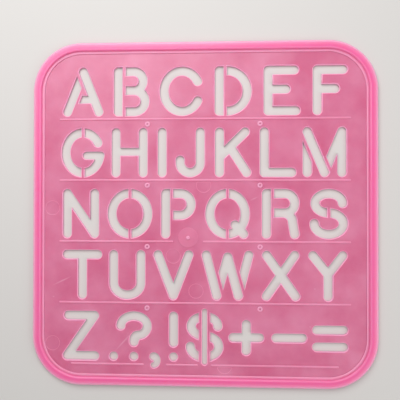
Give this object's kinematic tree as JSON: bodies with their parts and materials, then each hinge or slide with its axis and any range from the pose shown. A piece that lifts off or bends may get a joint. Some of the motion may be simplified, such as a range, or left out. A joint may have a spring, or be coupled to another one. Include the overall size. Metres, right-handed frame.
{
  "type": "lettering stencil",
  "caption": "Square see-through pink plastic stencil with capital letters, punctuation and arithmetic signs cut through a thin sheet inside a raised round-cornered rim.",
  "frame": {"origin": "centre of the flat underside, which rests on the paper", "axes": "+X along the rows of letters in reading order, +Y up the page from the last row to the first, +Z out of the face with the raised rim, the one that is looked at in use"},
  "size_m": [0.1778, 0.1778, 0.003],
  "materials": {
    "pink_plastic": "satin, slightly see-through injection-moulded pink"
  },
  "bodies": {
    "root": {"panel_a_to_c": "pink_plastic", "panel_d_to_f": "pink_plastic", "panel_g_to_j": "pink_plastic", "panel_k_to_m": "pink_plastic", "panel_n_to_p": "pink_plastic", "panel_q_to_s": "pink_plastic", "panel_t_to_v": "pink_plastic", "panel_w_to_y": "pink_plastic", "panel_z_to_comma": "pink_plastic", "panel_exclamation_to_dollar": "pink_plastic", "panel_plus_to_equals": "pink_plastic", "raised_rim": "pink_plastic", "rim_step": "pink_plastic", "guide_line_1": "pink_plastic", "guide_line_2": "pink_plastic", "guide_line_3": "pink_plastic", "guide_line_4": "pink_plastic", "guide_line_5": "pink_plastic", "marker_rings": "pink_plastic", "gate_disc": "pink_plastic", "gate_nub": "pink_plastic"}
  },
  "joints": []
}
